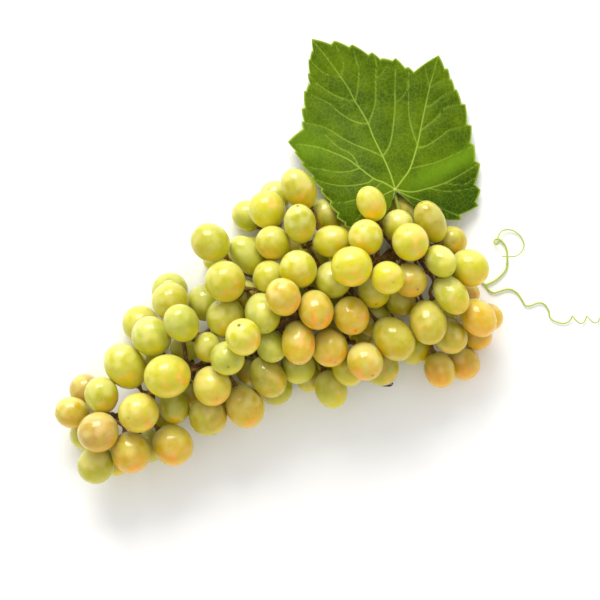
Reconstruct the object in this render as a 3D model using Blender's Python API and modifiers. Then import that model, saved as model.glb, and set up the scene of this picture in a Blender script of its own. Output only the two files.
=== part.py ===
"""A picked bunch of white table grapes lying on its side, with one vine leaf and one tendril at its stem end.

The bunch lies along X, from its tip at -X to its cut stalk at +X, and the leaf spreads towards +Y. Z is up and
the surface it lies on is z = 0. Every length below is in millimetres until MM turns it to metres.
"""
import math

import bmesh
import bpy
import numpy as np
from mathutils import Matrix, Vector

MM = 0.001

# Driving sizes.
GAP = 0.45            # clear space kept between separate pieces
STEM_GAP = 1.0        # and between stems, whose tubes cut the corners of their lines
PRESS = 0.8           # how deep a berry at the bottom is pressed flat against the surface
PEDICEL_RADIUS = 0.9
BRANCH_RADIUS = 1.15
RACHIS_RADII = (1.0, 1.5, 2.0, 2.5, 3.1)   # from the tip to the cut stalk
BURIED = 1.6          # how far a pedicel's end reaches into its berry
LEAF_THICK = 0.6
STEM_FACETS = 7.0     # spacing of the rings along a branch or pedicel
NECK = 4.0            # straight part of a pedicel, out from its berry's stem end
CROWDING = 7.0        # how far a branch goes along the main stem to keep off another that points the same way
TENDRIL_RADIUS = 0.65
TENDRIL_FACETS = 2.4
PETIOLE_RADIUS = 1.15
LAYERS = (9.4, 24.0)  # heights of the berries that lie hidden, on the surface and above it
ON_SURFACE = 13.0     # a berry whose centre starts lower than this lies on the surface
SHY = 9.5             # how far a hidden berry's rim may be, in plan, from the centre of one that shows
TRIES = 5000          # random places tried for them in each layer
PACKED = 0.47         # least distance of a hidden berry's centre from another's, as a share of both widths
HIDDEN_X = (-140, 95)           # where the hidden berries are tried
HIDDEN_Y = (-70, 68)
HIDDEN_WIDTH = (17.5, 20.0)
HIDDEN_STRETCH = (1.04, 1.14)   # their lengths, as shares of their widths
HIDDEN_RIM = 0.42               # radius of the rim that has to be out of sight, as a share of the width
STEM_ROOM = 3.0                 # a hidden berry's clear space from the main stem's line
BEAD = 3.0                      # spacing of the beads that stand for stems
BERRY_REACH = 18.0              # no bead further than this from a berry's centre can touch it
GIVE = 0.6                      # share of an overlap that a bead takes, the rest going to the berry
SPREAD = (0.75, 0.75, 1.3)      # berries push each other up and down more easily than sideways
STRAIGHTEN = 0.25               # how much of a stem's kinks each step takes out
BEFORE_STEMS = (260, 0.25)      # settling steps, and the pull back to each berry's own place
WITH_STEMS = (1000, 0.12)

# The berries that show, by region, each as: x, y and height of its centre, its width and length, the heading of
# its blossom end in degrees from +X, and how far that end tilts up.
TIP_BERRIES = [
    (-138, 9, 18, 17, 19.5, 140, 10), (-127, 16.5, 11, 17, 18.5, 110, -5), (-117.5, 10, 27, 18, 20.5, 75, 25),
    (-128.5, -7, 37, 21.5, 23, 200, 50), (-138, -5, 12, 17, 18, 190, -20), (-139, -22.5, 24, 20, 21.5, 215, 0),
    (-129.5, -25.5, 10, 17, 18, 250, -20), (-119, -25, 29, 21, 23, 260, 15), (-110, -27, 11, 17.5, 18.5, 280, -20),
    (-104, -7.8, 38, 21.5, 23, 180, 60), (-96, -31, 24, 21.5, 23.5, 285, 5), (-100, 17.5, 27, 21, 27, 96, 15),
    (-89, 13, 14, 17, 18, 100, -20),
]
UPPER_BERRIES = [
    (-82.5, 34.5, 12, 20, 22, 100, -10), (-79, 26, 31, 21, 22.5, 95, 30), (-59.5, 23.8, 42, 18.5, 22.5, 93, 40),
    (-61, 38, 29, 20, 21, 95, 10), (-59.5, 44, 10, 19.5, 20, 85, -10), (-44.5, 29, 18, 19.5, 20.5, 80, 0),
    (-37.5, 14.5, 33, 21, 22, 90, 30), (-29, 32.8, 43, 21.5, 23, 100, 45), (-11.5, 41.5, 26, 16.5, 25, 104, 15),
    (-24, 54, 27, 20, 22.5, 110, 5), (-27, 47.5, 10, 17, 18, 120, -20), (-18, 20, 27, 16, 17.5, 90, 20),
    (-6.5, 25.5, 33, 18, 18.5, 110, 30), (3.5, 40.3, 34, 18, 20.5, 105, 45), (0.5, 58.5, 12, 16, 18, 110, -10),
    (9.5, 58.5, 28, 19.5, 21, 90, 20), (16.5, 62.5, 11, 17, 18, 80, -10), (21, 42.3, 38, 16.8, 22.5, 70, 30),
    (30.5, 60.5, 28, 17.5, 24.5, 95, 15), (36.5, 40.5, 18, 17, 20.5, 80, 10), (32.5, 27, 40, 17, 21.5, 335, 20),
    (22.5, 23, 29, 17, 18, 90, 30), (45, 24.5, 20, 14.5, 17, 70, 10),
]
MIDDLE_BERRIES = [
    (-80.5, 2.7, 43, 23.4, 26, 165, 35), (-86.5, -14.5, 24, 16.5, 21, 255, 10), (-60.8, -12, 42, 20.5, 23, 265, 50),
    (-46.5, -3.5, 47, 18, 19.5, 250, 60), (-36, 2, 53, 18.5, 21.5, 80, 50), (-54.5, 6.5, 32, 15, 18, 80, 40),
    (-22.5, -7, 32, 16, 19, 270, 30), (-18.5, 7, 43, 18.5, 23.5, 260, 30), (-6, 11.3, 50, 18.5, 22, 80, 45),
    (-10, -13, 41, 17.5, 25, 247, 25), (7.7, -2.2, 51, 18.3, 23, 258, 35), (9.5, 20.5, 46, 19.5, 23, 90, 55),
    (24.5, 7.5, 41, 19.5, 21.5, 240, 50), (24, -14, 42, 19, 22.5, 258, 40), (37, 10, 50, 21.5, 22.5, 158, 45),
    (40, -8.5, 37, 17, 18.5, 250, 40), (50.5, -5.2, 52, 17.6, 19, 290, 65), (61.5, -11, 42, 17.5, 20.5, 280, 50),
    (51, -20.5, 31, 16, 18.5, 280, 30),
]
LOWER_BERRIES = [
    (-72, -27, 26, 20.5, 22, 262, 15), (-51, -31.5, 27, 20.5, 24.5, 268, 10), (-32.5, -23, 28, 18.5, 24.5, 275, 20),
    (-32.5, -30.5, 10, 18.5, 19.5, 270, -10), (-16, -26.5, 14, 19, 19.5, 265, 0), (5, -24.5, 41, 19.5, 22.5, 265, 40),
    (-4, -43.5, 13, 17, 22, 265, 5), (7.5, -40.5, 25, 16, 18.5, 280, 10), (18.7, -39, 41, 18.7, 22.5, 270, 40),
    (25, -47.5, 19, 19.5, 20.5, 280, -5), (39, -36, 35, 20.5, 27, 285, 20), (58.5, -36, 37, 19.5, 25.5, 257, 25),
    (47, -46.5, 14, 19, 20, 280, -5), (66.5, -48.5, 26, 18, 21.5, 280, 10), (54, -63.5, 13, 16.5, 20.5, 262, -5),
    (68, -66, 10, 17.5, 19, 285, -10), (84.5, -46, 30, 17.5, 23, 280, 15), (85, -32.5, 16, 16, 17.5, 300, 0),
    (89.5, -51, 18, 14, 16, 300, -10), (81, -57, 10, 16.5, 17.5, 270, -10),
]
SHOULDER_BERRIES = [
    (54, 17, 44, 18.5, 20.5, 80, 50), (61.8, 31.7, 46, 15, 20.5, 90, 25), (70, 7.3, 45, 19.5, 21.5, 80, 50),
    (69.5, 16.5, 29, 17, 18, 80, 30), (75, 20.5, 14, 16, 17.5, 85, 0), (85.8, 10.7, 32, 16.3, 24.8, 88, 20),
    (90, -4.5, 24, 16.5, 17, 270, 80), (80, -11, 45, 15.5, 19.5, 283, 30), (94, -20.3, 30, 19.3, 22, 300, 20),
    (76, -30.5, 38, 16.8, 25, 278, 25),
]

# Smaller berries that lie on the surface under the gaps between those above.
DEEP_BERRIES = [
    (-42.4, -15.6, 8, 14, 15.5, 265, -15), (25.2, -26.9, 8, 14, 15.5, 265, -15), (-68, 11, 8, 14.5, 16, 95, -15),
    (-10.7, -34.8, 8, 14, 15.5, 265, -15), (-75.5, -12.9, 8, 13.5, 15, 260, -15),
    (37.8, -19.7, 8, 14, 15.5, 270, -15), (-95.4, -18, 8, 14, 15.5, 270, -15),
]

# The main stem, from the tip of the bunch to the cut end of the stalk under the leaf.
RACHIS_ROUTE = [
    (-122, -4, 22), (-95, -1, 25), (-66, 4, 27), (-40, -5, 27), (-10, 1, 27), (20, 1, 27), (50, 3, 27),
    (72, 3, 24), (88, 8, 15), (101, 14, 7),
]

# The leaf: the point where its stalk joins it, and the tips of the teeth along its margin, in four runs that each
# climb from the base of a lobe to its point. A notch is cut above each tooth.
LEAF_JOINT = (77, 36)
LEFT_FLANK = [
    (47.5, 25), (43, 30.5), (41.5, 37), (41, 45), (40.3, 54), (39.1, 63), (38.2, 73), (38, 80.6), (37.4, 87.8),
]
LEFT_SHOULDER = [
    (49.3, 93.9), (52.7, 100.6), (58.6, 108.9), (62.7, 111.3), (65, 116.7), (69.1, 123.7), (72.8, 126.9),
]
APEX = (76.1, 133.1)
LEFT_SINUS = (48.2, 90.2)      # the bays between the middle lobe and those beside it
RIGHT_SINUS = (118.4, 90.2)
RIGHT_SHOULDER = [(117, 94.2), (113, 102), (106.3, 105.3), (102.7, 110.9), (94.7, 120), (86.9, 126.4)]
RIGHT_FLANK = [
    (94.1, 7.2), (103, 4.2), (115.8, 6.7), (120.8, 13.9), (127.4, 27.2), (129.3, 38), (133, 48.3), (135.6, 60.6),
    (135.2, 70.2), (135.4, 76.7), (136.3, 83), (135.2, 92.2),
]
LEFT_BASE = [(73.6, 32), (69.5, 28), (62, 23.5), (54, 22)]     # smooth margin hidden under the berries
RIGHT_BASE = [(91, 12), (86, 18), (82, 24), (79.3, 30.5)]
LEAF_CROWN = (60, 34)          # where the blade lies highest, over the shoulder of the bunch
LEAF_SPREAD = (40, 42)
LEAF_HEIGHT = 33.0
LEAF_FLOOR = 1.0
LEAF_RINGS = (0.3, 0.58, 0.84)
LEAF_RIPPLE = (1.3, 60)        # height of the blade's four waves, and how far out they are full
NOTCH_UP, NOTCH_DEEP = 0.22, 0.2   # a tooth's notch, as shares of the way to the next tooth
PETIOLE_WAY = [(72, 29), (67.5, 22.5, 25), (66, 14, 25), (69, 6.6, 26)]   # its first point hangs under the blade

# The tendril leaves the stalk, comes out under the berries and splits into a hooked arm and a long curly one.
TENDRIL_ROOT = [
    (88, 3.5, 11), (91, -2, 5), (94.5, -12, 2.4), (97, -22, 1.6), (97.8, -31, 1.2), (98.6, -35, 1.1),
    (99.3, -38.5, 1.1),
]
TENDRIL_LONG_ARM = [
    (101.5, -40.8, 1.1), (106, -41.6, 1.1), (110, -43, 1.1), (112.6, -47, 1.1), (113.2, -52, 1.1),
    (113.6, -55.5, 1.1), (117, -56.6, 1.1), (121, -57.2, 1.1), (123.4, -60, 1.1), (123.6, -64, 1.1),
    (122.6, -67.8, 1.1), (125.4, -72, 1.1), (129, -74.3, 1.1), (132.6, -73.6, 1.6), (134, -72.4, 3.2),
    (134.4, -75.4, 4.4), (136.4, -78.4, 1.8), (139, -78.2, 1.1), (141.2, -76.2, 2.8), (141.6, -78.6, 4.2),
    (143, -81.4, 2.4), (145.4, -82, 1.1), (147.2, -80.4, 1.4),
]
TENDRIL_HOOKED_ARM = [
    (98.6, -34.4, 1.1), (103, -34.9, 1.1), (108, -34.2, 1.1), (113.4, -31.9, 1.1), (116.6, -27, 1.1),
    (118.8, -21.5, 1.1), (118.2, -16.5, 1.1), (115.2, -14.2, 1.3), (113.9, -16.4, 2.6), (116.2, -17, 4.0),
    (117.6, -13.6, 3.6), (121.6, -11.8, 2.2), (126.4, -14.2, 1.4), (129, -19.4, 1.2), (128, -25.2, 1.6),
    (122.6, -28, 3.2), (117.8, -26.4, 3.9), (114.6, -24.6, 3.4),
]


def smooth_route(points, spacing):
    """Points at an even spacing along a Catmull-Rom curve through the given ones."""
    given = np.array(points, float)
    padded = np.vstack([2 * given[0] - given[1], given, 2 * given[-1] - given[-2]])
    fine = []
    for a, b, c, d in zip(padded[:-3], padded[1:-2], padded[2:-1], padded[3:]):
        for t in np.linspace(0, 1, 24, endpoint=False):
            fine.append(0.5 * (2 * b + (c - a) * t + (2 * a - 5 * b + 4 * c - d) * t**2
                               + (3 * b - 3 * c + d - a) * t**3))
    fine = np.array(fine + [given[-1]])
    along = np.concatenate([[0], np.cumsum(np.linalg.norm(np.diff(fine, axis=0), axis=1))])
    stations = np.linspace(0, along[-1], max(2, round(along[-1] / spacing) + 1))
    return np.column_stack([np.interp(stations, along, fine[:, k]) for k in range(3)])


def even_route(points, spacing):
    """The same line with its points at an even spacing, for a tube of few faces."""
    points = np.array(points)
    along = np.concatenate([[0], np.cumsum(np.linalg.norm(np.diff(points, axis=0), axis=1))])
    stations = np.linspace(0, along[-1], max(2, round(along[-1] / spacing) + 1))
    return np.column_stack([np.interp(stations, along, points[:, k]) for k in range(3)])


def leaf_height(x, y):
    """Height of the blade's upper face: draped over the bunch's shoulder, lying down on the surface further out."""
    far = ((x - LEAF_CROWN[0]) / LEAF_SPREAD[0]) ** 2 + ((y - LEAF_CROWN[1]) / LEAF_SPREAD[1]) ** 2
    out = math.hypot(x - LEAF_JOINT[0], y - LEAF_JOINT[1])
    turn = math.atan2(y - LEAF_JOINT[1], x - LEAF_JOINT[0])
    ripple = LEAF_RIPPLE[0] * (1 + math.sin(4 * turn + 0.8)) * min(1.0, out / LEAF_RIPPLE[1])
    return LEAF_FLOOR + LEAF_HEIGHT * math.exp(-far) + ripple


def toothed(tips, top):
    """The margin through a run of tooth tips up to the point at its top, with a notch above each tooth."""
    margin = []
    joint = Vector(LEAF_JOINT)
    for here, above in zip(tips, [*tips[1:], top]):
        tip, after = Vector(here), Vector(above)
        inward = (joint - tip).normalized()
        margin += [tip, tip.lerp(after, NOTCH_UP) + NOTCH_DEEP * (after - tip).length * inward]
    return margin


def leaf_margin():
    """The whole outline in plan, from the left of the stalk's notch clockwise round to its right."""
    left = toothed(LEFT_FLANK[:-1], LEFT_FLANK[-1]) + [Vector(LEFT_FLANK[-1])]
    left += [Vector(LEFT_SINUS)] + toothed(LEFT_SHOULDER, APEX) + [Vector(APEX)]
    right = toothed(RIGHT_FLANK[:-1], RIGHT_FLANK[-1]) + [Vector(RIGHT_FLANK[-1])]
    right += [Vector(RIGHT_SINUS)] + toothed(RIGHT_SHOULDER, APEX)
    base = [Vector(p) for p in LEFT_BASE]
    return base + left + right[::-1] + [Vector(p) for p in RIGHT_BASE]


def heading_vector(heading, tilt):
    flat = math.cos(math.radians(tilt))
    return np.array([flat * math.cos(math.radians(heading)), flat * math.sin(math.radians(heading)),
                     math.sin(math.radians(tilt))])


def foot_on(route, point):
    """Index of the route's point nearest to this one."""
    return int(np.argmin(np.linalg.norm(route - point, axis=1)))


class Berries:
    """Ellipsoids with a width, a length and an axis that points from the stem to the blossom end."""

    def __init__(self, rows, rachis):
        self.centre = np.array([row[:3] for row in rows], float)
        self.width = np.array([row[3] for row in rows], float)
        self.length = np.array([row[4] for row in rows], float)
        self.axis = np.array([heading_vector(row[5], row[6]) if len(row) > 5 else self.outward(row, rachis)
                              for row in rows])
        self.shape()

    @staticmethod
    def outward(row, rachis):
        way = np.array(row[:3]) - rachis[foot_on(rachis, np.array(row[:3]))]
        return way / np.linalg.norm(way)

    def shape(self):
        """The matrix A of each berry, whose reach along a unit vector n is sqrt(n A n)."""
        across, along = (self.width / 2) ** 2, (self.length / 2) ** 2
        self.matrix = (across[:, None, None] * np.eye(3)
                       + (along - across)[:, None, None] * self.axis[:, :, None] * self.axis[:, None, :])
        self.below = np.sqrt(self.matrix[:, 2, 2])
        self.home = self.centre.copy()

    def reach(self, which, way):
        return np.sqrt(np.einsum("ni,nij,nj->n", way, self.matrix[which], way))

    def stem_ends(self):
        return self.centre - self.axis * self.length[:, None] / 2


def fill_below(rows, rachis):
    """Adds the berries that nothing shows from above: each lies under the others, clear of them and of the stem."""
    rng = np.random.default_rng(11)
    found = [list(row) for row in rows]
    seen = np.array([row[:2] for row in rows])
    around = [(math.cos(a), math.sin(a)) for a in np.linspace(0, 2 * math.pi, 10, endpoint=False)]
    for height in LAYERS:
        for _ in range(TRIES):
            place = np.array([rng.uniform(*HIDDEN_X), rng.uniform(*HIDDEN_Y), height])
            size = rng.uniform(*HIDDEN_WIDTH)
            rim = [place[:2] + HIDDEN_RIM * size * np.array(way) for way in around]
            if max(np.linalg.norm(seen - spot, axis=1).min() for spot in rim) > SHY:
                continue
            others = np.array([row[:3] for row in found])
            widths = np.array([row[3] for row in found])
            if (np.linalg.norm(others - place, axis=1) < PACKED * (size + widths)).any():
                continue
            if np.linalg.norm(rachis - place, axis=1).min() < 0.5 * size + STEM_ROOM:
                continue
            found.append([*place, size, size * rng.uniform(*HIDDEN_STRETCH)])
    return found


class Strands:
    """Stems held as rows of beads, which keep clear of the berries and of each other while the bunch settles."""

    def __init__(self):
        self.place = np.zeros((0, 3))
        self.home = np.zeros((0, 3))
        self.radius = np.zeros(0)
        self.group = np.zeros(0, int)
        self.own = np.zeros(0, int)
        self.free = np.zeros(0, bool)
        self.joins = np.zeros(0, bool)
        self.rows = []

    def add(self, points, radius, group, free=True, joins=False):
        """Adds a row of beads and gives their indices. One that joins may touch the main stem."""
        row = np.arange(len(self.radius), len(self.radius) + len(points))
        self.place = np.vstack([self.place, np.array(points, float)])
        self.home = self.place.copy()
        self.radius = np.append(self.radius, np.broadcast_to(radius, len(points)))
        self.group = np.append(self.group, np.full(len(points), group))
        self.own = np.append(self.own, np.full(len(points), -1))
        self.free = np.append(self.free, np.full(len(points), free))
        self.joins = np.append(self.joins, np.full(len(points), joins))
        if free:
            self.rows.append(row)
        return row


RACHIS, PETIOLE, LEAF, TENDRIL = -1, -2, -3, -4


def near_pairs(strands, reach=9.0):
    apart = np.linalg.norm(strands.place[:, None] - strands.place[None], axis=2)
    first, second = np.nonzero(np.triu(apart < reach, 1))
    keep = strands.group[first] != strands.group[second]
    keep &= strands.free[first] | strands.free[second]
    for a, b in ((first, second), (second, first)):
        keep &= ~(strands.joins[a] & (strands.group[b] == RACHIS))
    return first[keep], second[keep]


def settle(berries, strands, steps, pull, ends=()):
    """Pushes apart all that overlaps, while every berry is drawn back to its own place and lies on the surface."""
    count = len(berries.centre)
    a, b = np.triu_indices(count, 1)
    on_table = berries.home[:, 2] < ON_SURFACE
    ease = np.array([1.0, 1.0, 0.25])
    near = near_pairs(strands)
    for step in range(steps):
        slack = pull * max(0.0, 1 - step / (0.7 * steps))
        berries.centre += slack * ease * (berries.home - berries.centre)
        strands.place[strands.free] += 0.5 * slack * (strands.home - strands.place)[strands.free]
        shift, met = np.zeros((count, 3)), np.zeros(count)
        between = berries.centre[b] - berries.centre[a]
        apart = np.linalg.norm(between, axis=1)
        way = between / apart[:, None]
        deep = berries.reach(a, way) + berries.reach(b, way) + GAP - apart
        hit = deep > 0
        push = 0.5 * deep[hit, None] * way[hit] * np.array(SPREAD)
        np.add.at(shift, a[hit], -push)
        np.add.at(shift, b[hit], push)
        np.add.at(met, a[hit], 1)
        np.add.at(met, b[hit], 1)
        # Beads against berries.
        moves, touched = np.zeros_like(strands.place), np.zeros(len(strands.place))
        offset = strands.place[:, None] - berries.centre[None]
        bead, berry = np.nonzero(np.linalg.norm(offset, axis=2) < BERRY_REACH)
        keep = strands.own[bead] != berry
        bead, berry = bead[keep], berry[keep]
        between = offset[bead, berry]
        apart = np.linalg.norm(between, axis=1)
        way = between / apart[:, None]
        deep = berries.reach(berry, way) + strands.radius[bead] + GAP - apart
        hit = deep > 0
        bead, berry, way, deep = bead[hit], berry[hit], way[hit], deep[hit]
        share = np.where(strands.free[bead], GIVE, 0.0)
        np.add.at(moves, bead, (share * deep)[:, None] * way)
        np.add.at(touched, bead, 1)
        np.add.at(shift, berry, -((1 - share) * deep)[:, None] * way)
        np.add.at(met, berry, 1)
        # Beads against the beads of other stems.
        first, second = near
        between = strands.place[second] - strands.place[first]
        apart = np.maximum(np.linalg.norm(between, axis=1), 1e-6)
        way = between / apart[:, None]
        deep = strands.radius[first] + strands.radius[second] + STEM_GAP - apart
        hit = deep > 0
        push = 0.5 * deep[hit, None] * way[hit]
        np.add.at(moves, first[hit], -push)
        np.add.at(moves, second[hit], push)
        np.add.at(touched, first[hit], 1)
        np.add.at(touched, second[hit], 1)
        moved = moves / np.maximum(1, 0.6 * touched)[:, None]
        strands.place[strands.free] += moved[strands.free]
        # A bead that belongs to a berry passes its push on to it.
        owned = strands.own >= 0
        np.add.at(shift, strands.own[owned], 0.5 * moves[owned])
        np.add.at(met, strands.own[owned], np.where(touched[owned] > 0, 1, 0))
        berries.centre += shift / np.maximum(1, 0.6 * met)[:, None]
        # The surface below, with the lowest berries pressed on to it.
        lowest = berries.below - PRESS
        berries.centre[:, 2] = np.where(on_table, lowest, np.maximum(berries.centre[:, 2], berries.below + 0.5))
        strands.place[:, 2] = np.maximum(strands.place[:, 2], strands.radius + GAP)
        for row in strands.rows:
            line = strands.place[row]
            strands.place[row[1:-1]] += STRAIGHTEN * (0.5 * (line[:-2] + line[2:]) - line[1:-1])
        for hold in ends:
            hold(berries, strands)
        if step % 12 == 11:
            near = near_pairs(strands)


def group_sprigs(berries, most=3, widest=21.0):
    """Sets of berries whose stems start close together, found from the outside of the bunch inwards."""
    roots = berries.stem_ends() - 5.0 * berries.axis
    left = set(range(len(roots)))
    order = sorted(left, key=lambda i: -np.linalg.norm(berries.centre[i] * np.array([0.35, 1, 1])))
    sprigs = []
    for start in order:
        if start not in left:
            continue
        members = [start]
        left.discard(start)
        while len(members) < most and left:
            middle = roots[members].mean(axis=0)
            nearest = min(sorted(left), key=lambda i: np.linalg.norm(roots[i] - middle))
            if np.linalg.norm(roots[nearest] - middle) > widest:
                break
            members.append(nearest)
            left.discard(nearest)
        sprigs.append(members)
    return sprigs


def fixed_strands(rachis):
    """The main stem, the leaf and its stalk, and the tendril where it runs under the berries, as beads."""
    strands = Strands()
    radii = np.interp(np.linspace(0, 1, len(rachis)), np.linspace(0, 1, len(RACHIS_RADII)), RACHIS_RADII)
    spine = strands.add(rachis, radii, RACHIS)
    margin = [np.array(p) for p in leaf_margin()]
    for ring in np.linspace(0.15, 1, 12):
        for p, q in zip(margin, margin[1:]):
            for t in (0.0, 0.5):
                spot = np.array(LEAF_JOINT) + ring * (p + t * (q - p) - np.array(LEAF_JOINT))
                if spot[1] < 75 and spot[0] < 105:
                    height = leaf_height(*spot) - LEAF_THICK / 2
                    strands.add([(*spot, height)], 0.7, LEAF, free=False)
    strands.add(smooth_route(TENDRIL_ROOT, 2.5), TENDRIL_RADIUS, TENDRIL, free=False)
    top = (LEAF_JOINT[0] - 1.2, LEAF_JOINT[1] - 1.8)
    high = leaf_height(*LEAF_JOINT) - 2.2
    route = smooth_route([(*top, high), (*PETIOLE_WAY[0], high - 2), *PETIOLE_WAY[1:]], BEAD)
    stalk = strands.add(route, PETIOLE_RADIUS, PETIOLE, joins=True)
    return strands, spine, stalk


def grow_sprigs(strands, berries, sprigs, spine):
    """Gives every sprig a branch from the main stem to its fork, and a pedicel from there to each berry."""
    plan = []
    taken = []
    roots = berries.stem_ends() - NECK * berries.axis
    for number, members in enumerate(sprigs):
        fork = roots[members].mean(axis=0)
        line = strands.place[spine]
        fork = fork + 0.25 * (line[foot_on(line, fork)] - fork)

        def cost(i):
            way = (fork - line[i]) / np.linalg.norm(fork - line[i])
            crowd = sum(abs(i - j) <= 3 and np.dot(way, other) > 0.2 for j, other in taken)
            return np.linalg.norm(line[i] - fork) + CROWDING * crowd

        foot = min(range(1, len(spine) - 7), key=cost)
        taken.append((foot, (fork - line[foot]) / np.linalg.norm(fork - line[foot])))
        beads = max(3, round(np.linalg.norm(line[foot] - fork) / BEAD) + 1)
        branch = strands.add(np.linspace(line[foot], fork, beads), BRANCH_RADIUS, number)
        strands.joins[branch[0]] = True
        pedicels = []
        for berry in members:
            pedicel = strands.add(np.linspace(fork, roots[berry], 4), PEDICEL_RADIUS, number)
            strands.own[pedicel[-1]] = berry
            strands.own[pedicel[-2]] = berry
            pedicels.append((berry, pedicel))
        plan.append((spine[foot], branch, pedicels))
    return plan


def hold_ends(stalk, plan):
    """Keeps each branch on the main stem, and each pedicel on its fork and its berry."""

    def hold(berries, strands):
        roots = berries.stem_ends() - NECK * berries.axis
        strands.place[stalk[0]] = strands.home[stalk[0]]
        for foot, branch, pedicels in plan:
            along = strands.place[foot + 1] - strands.place[foot - 1]
            along = along / np.linalg.norm(along)
            way = strands.place[branch[1]] - strands.place[foot]
            way = way - 0.9 * np.dot(way, along) * along
            reach = strands.radius[foot] + BRANCH_RADIUS + GAP
            strands.place[branch[0]] = strands.place[foot] + reach * way / np.linalg.norm(way)
            fork = strands.place[branch[-1]]
            inner = np.mean([strands.place[row[1]] for _, row in pedicels] + [strands.place[branch[-2]]], axis=0)
            strands.place[branch[-1]] = fork + 0.3 * (inner - fork)
            for berry, row in pedicels:
                strands.place[row[0]] = strands.place[branch[-1]]
                strands.place[row[-1]] = roots[berry]

    return hold


def clear_scene():
    for item in list(bpy.data.objects):
        bpy.data.objects.remove(item, do_unlink=True)


def collection_named(name):
    made = bpy.data.collections.new(name)
    bpy.context.scene.collection.children.link(made)
    return made


def material_named(name, colour, roughness):
    made = bpy.data.materials.new(name)
    made.use_nodes = True
    shader = made.node_tree.nodes["Principled BSDF"]
    shader.inputs["Base Color"].default_value = (*colour, 1)
    shader.inputs["Roughness"].default_value = roughness
    shader.inputs["Metallic"].default_value = 0.0
    return made


def mesh_object(name, mesh, collection, material):
    piece = bpy.data.objects.new(name, mesh)
    collection.objects.link(piece)
    mesh.materials.append(material)
    mesh.shade_smooth()
    return piece


def tube_mesh(name, routes, sides=1):
    """One mesh of round tubes, each along its own route: points with a radius each, in millimetres."""
    curve = bpy.data.curves.new(name, "CURVE")
    curve.dimensions = "3D"
    curve.bevel_depth = MM
    curve.bevel_resolution = sides
    curve.use_fill_caps = True
    for points, radii in routes:
        spline = curve.splines.new("POLY")
        spline.points.add(len(points) - 1)
        for knot, point, radius in zip(spline.points, points, np.broadcast_to(radii, len(points))):
            knot.co = (*(np.array(point) * MM), 1)
            knot.radius = radius
    guide = bpy.data.objects.new(name + "_guide", curve)
    bpy.context.scene.collection.objects.link(guide)
    graph = bpy.context.evaluated_depsgraph_get()
    mesh = bpy.data.meshes.new_from_object(guide.evaluated_get(graph))
    mesh.name = name
    bpy.data.objects.remove(guide)
    bpy.data.curves.remove(curve)
    work = bmesh.new()
    work.from_mesh(mesh)
    bmesh.ops.remove_doubles(work, verts=work.verts, dist=1e-6)
    bmesh.ops.recalc_face_normals(work, faces=work.faces)
    work.to_mesh(mesh)
    work.free()
    return mesh


def berry_mesh(name, berries, members):
    """The berries of one sprig, each flat underneath where it is pressed on the surface."""
    work = bmesh.new()
    for i in members:
        turn = Vector((0, 0, 1)).rotation_difference(Vector(berries.axis[i])).to_matrix().to_4x4()
        size = Matrix.Diagonal((berries.width[i] / 2, berries.width[i] / 2, berries.length[i] / 2, 1))
        place = Matrix.Translation(Vector(berries.centre[i]))
        bmesh.ops.create_icosphere(work, subdivisions=2, radius=1.0,
                                   matrix=Matrix.Scale(MM, 4) @ place @ turn @ size)
    cut = bmesh.ops.bisect_plane(work, geom=[*work.verts, *work.edges, *work.faces], dist=1e-7,
                                 plane_co=(0, 0, 0), plane_no=(0, 0, -1), clear_outer=True)
    rim = [item for item in cut["geom_cut"] if isinstance(item, bmesh.types.BMEdge)]
    bmesh.ops.holes_fill(work, edges=rim, sides=0)
    mesh = bpy.data.meshes.new(name)
    work.to_mesh(mesh)
    work.free()
    return mesh


def join_with(piece, other):
    """A Boolean union that makes the piece and its helper one closed body."""
    other.hide_render = True
    other.display_type = "WIRE"
    union = piece.modifiers.new("join", "BOOLEAN")
    union.operation = "UNION"
    union.solver = "EXACT"
    union.object = other


def leaf_mesh():
    """The blade's upper face: rings of points between the stalk's joint and the toothed margin."""
    work = bmesh.new()
    joint = Vector(LEAF_JOINT)

    def vertex(spot):
        return work.verts.new(Vector((spot.x, spot.y, leaf_height(spot.x, spot.y))) * MM)

    margin = leaf_margin()
    rings = [[vertex(joint.lerp(p, share)) for p in margin] for share in (*LEAF_RINGS, 1.0)]
    centre = vertex(joint)
    for a, b in zip(rings[0], rings[0][1:]):
        work.faces.new((centre, b, a))
    for inner, outer in zip(rings, rings[1:]):
        for k in range(len(margin) - 1):
            work.faces.new((inner[k], inner[k + 1], outer[k + 1], outer[k]))
    bmesh.ops.recalc_face_normals(work, faces=work.faces)
    if sum(face.normal.z for face in work.faces) < 0:
        bmesh.ops.reverse_faces(work, faces=work.faces)
    mesh = bpy.data.meshes.new("leaf_blade")
    work.to_mesh(mesh)
    work.free()
    return mesh


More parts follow.
